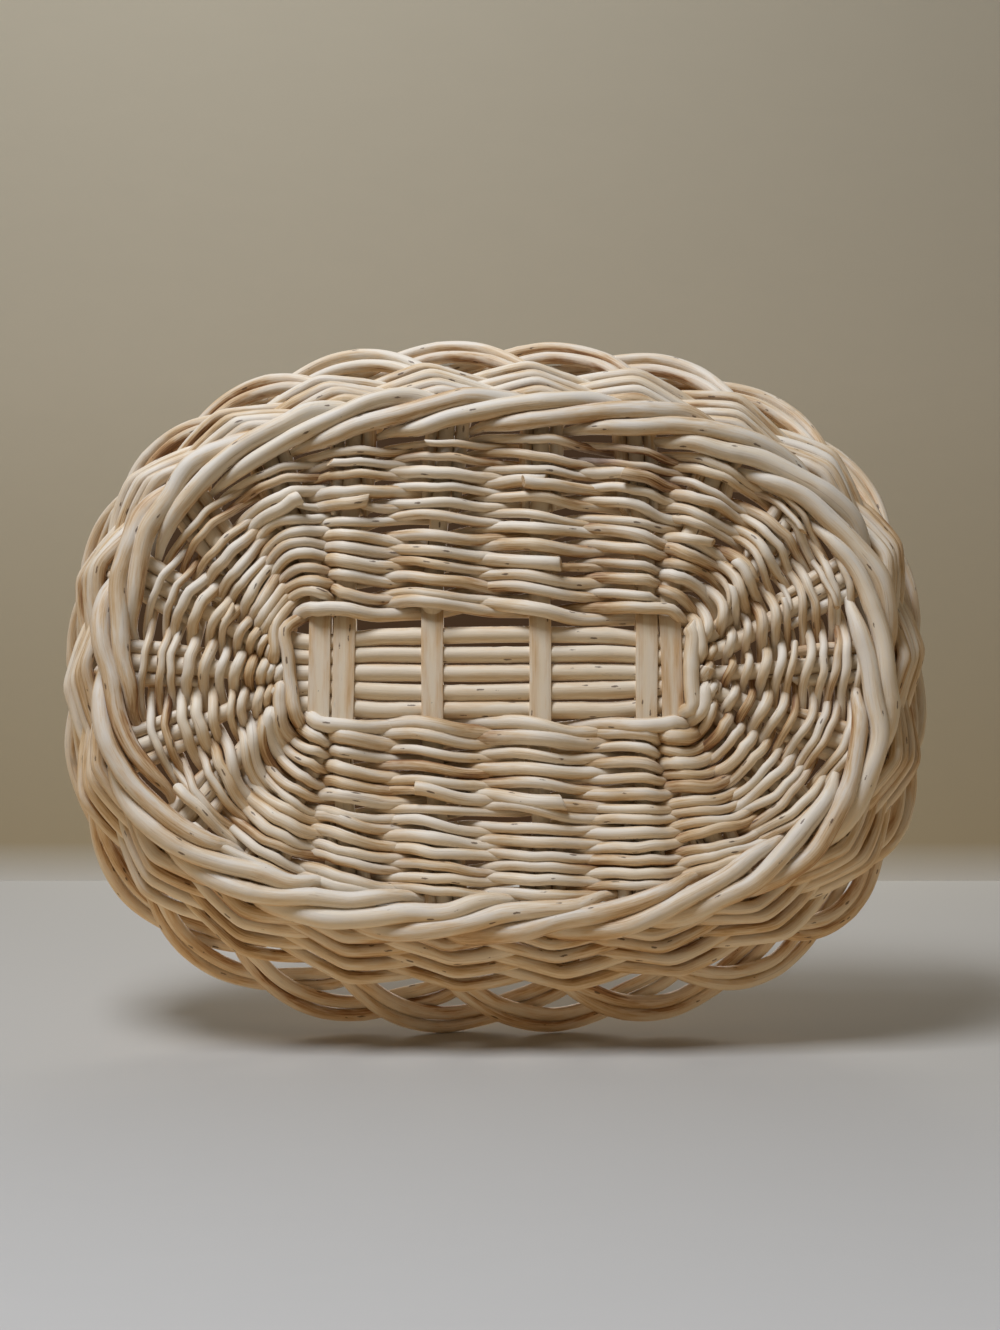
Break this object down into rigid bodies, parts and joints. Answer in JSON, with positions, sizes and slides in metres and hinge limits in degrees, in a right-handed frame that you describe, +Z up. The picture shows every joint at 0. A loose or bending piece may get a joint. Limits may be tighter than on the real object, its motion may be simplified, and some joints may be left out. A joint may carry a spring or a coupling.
{
  "type": "woven basket",
  "caption": "Shallow oval basket of peeled willow rods, woven on stakes, with sides that flare and an open border of overlapping arches.",
  "frame": {"origin": "on the ground under the middle of the basket, which stands on its foot: the bottom centre of its bounding box", "axes": "+X along the oval's length, +Y across it, +Z up out of the basket's mouth"},
  "size_m": [0.3682, 0.2978, 0.0646],
  "materials": {
    "stick": "peeled willow, shaved, bare",
    "base_weave": "peeled thin willow rods, bare",
    "foot_weave": "peeled thick willow rods, bare, sun-bleached",
    "side_weave": "peeled willow rods, bare",
    "stake": "peeled willow rods, bare"
  },
  "bodies": {
    "root": {"long_stick_1": "stick", "long_stick_2": "stick", "long_stick_3": "stick", "long_stick_4": "stick", "long_stick_5": "stick", "cross_stick_1": "stick", "cross_stick_2": "stick", "cross_stick_3": "stick", "cross_stick_4": "stick", "cross_stick_5": "stick", "cross_stick_6": "stick", "slath_round_1": "base_weave", "slath_round_2": "base_weave", "opening_round": "base_weave", "base_round_1": "base_weave", "base_round_2": "base_weave", "base_round_3": "base_weave", "base_round_4": "base_weave", "base_round_5": "base_weave", "base_round_6": "base_weave", "base_round_7": "base_weave", "foot_wale": "foot_weave", "side_round_1": "side_weave", "side_round_2": "side_weave", "side_round_3": "side_weave", "side_round_4": "side_weave", "stake_pair_01": "stake", "stake_pair_02": "stake", "stake_pair_03": "stake", "stake_pair_04": "stake", "stake_pair_05": "stake", "stake_pair_06": "stake", "stake_pair_07": "stake", "stake_pair_08": "stake", "stake_pair_09": "stake", "stake_pair_10": "stake", "stake_pair_11": "stake", "stake_pair_12": "stake", "stake_pair_13": "stake", "stake_pair_14": "stake", "stake_pair_15": "stake", "stake_pair_16": "stake", "stake_pair_17": "stake", "stake_pair_18": "stake", "stake_pair_19": "stake", "stake_pair_20": "stake", "stake_pair_21": "stake", "stake_pair_22": "stake"}
  },
  "joints": []
}
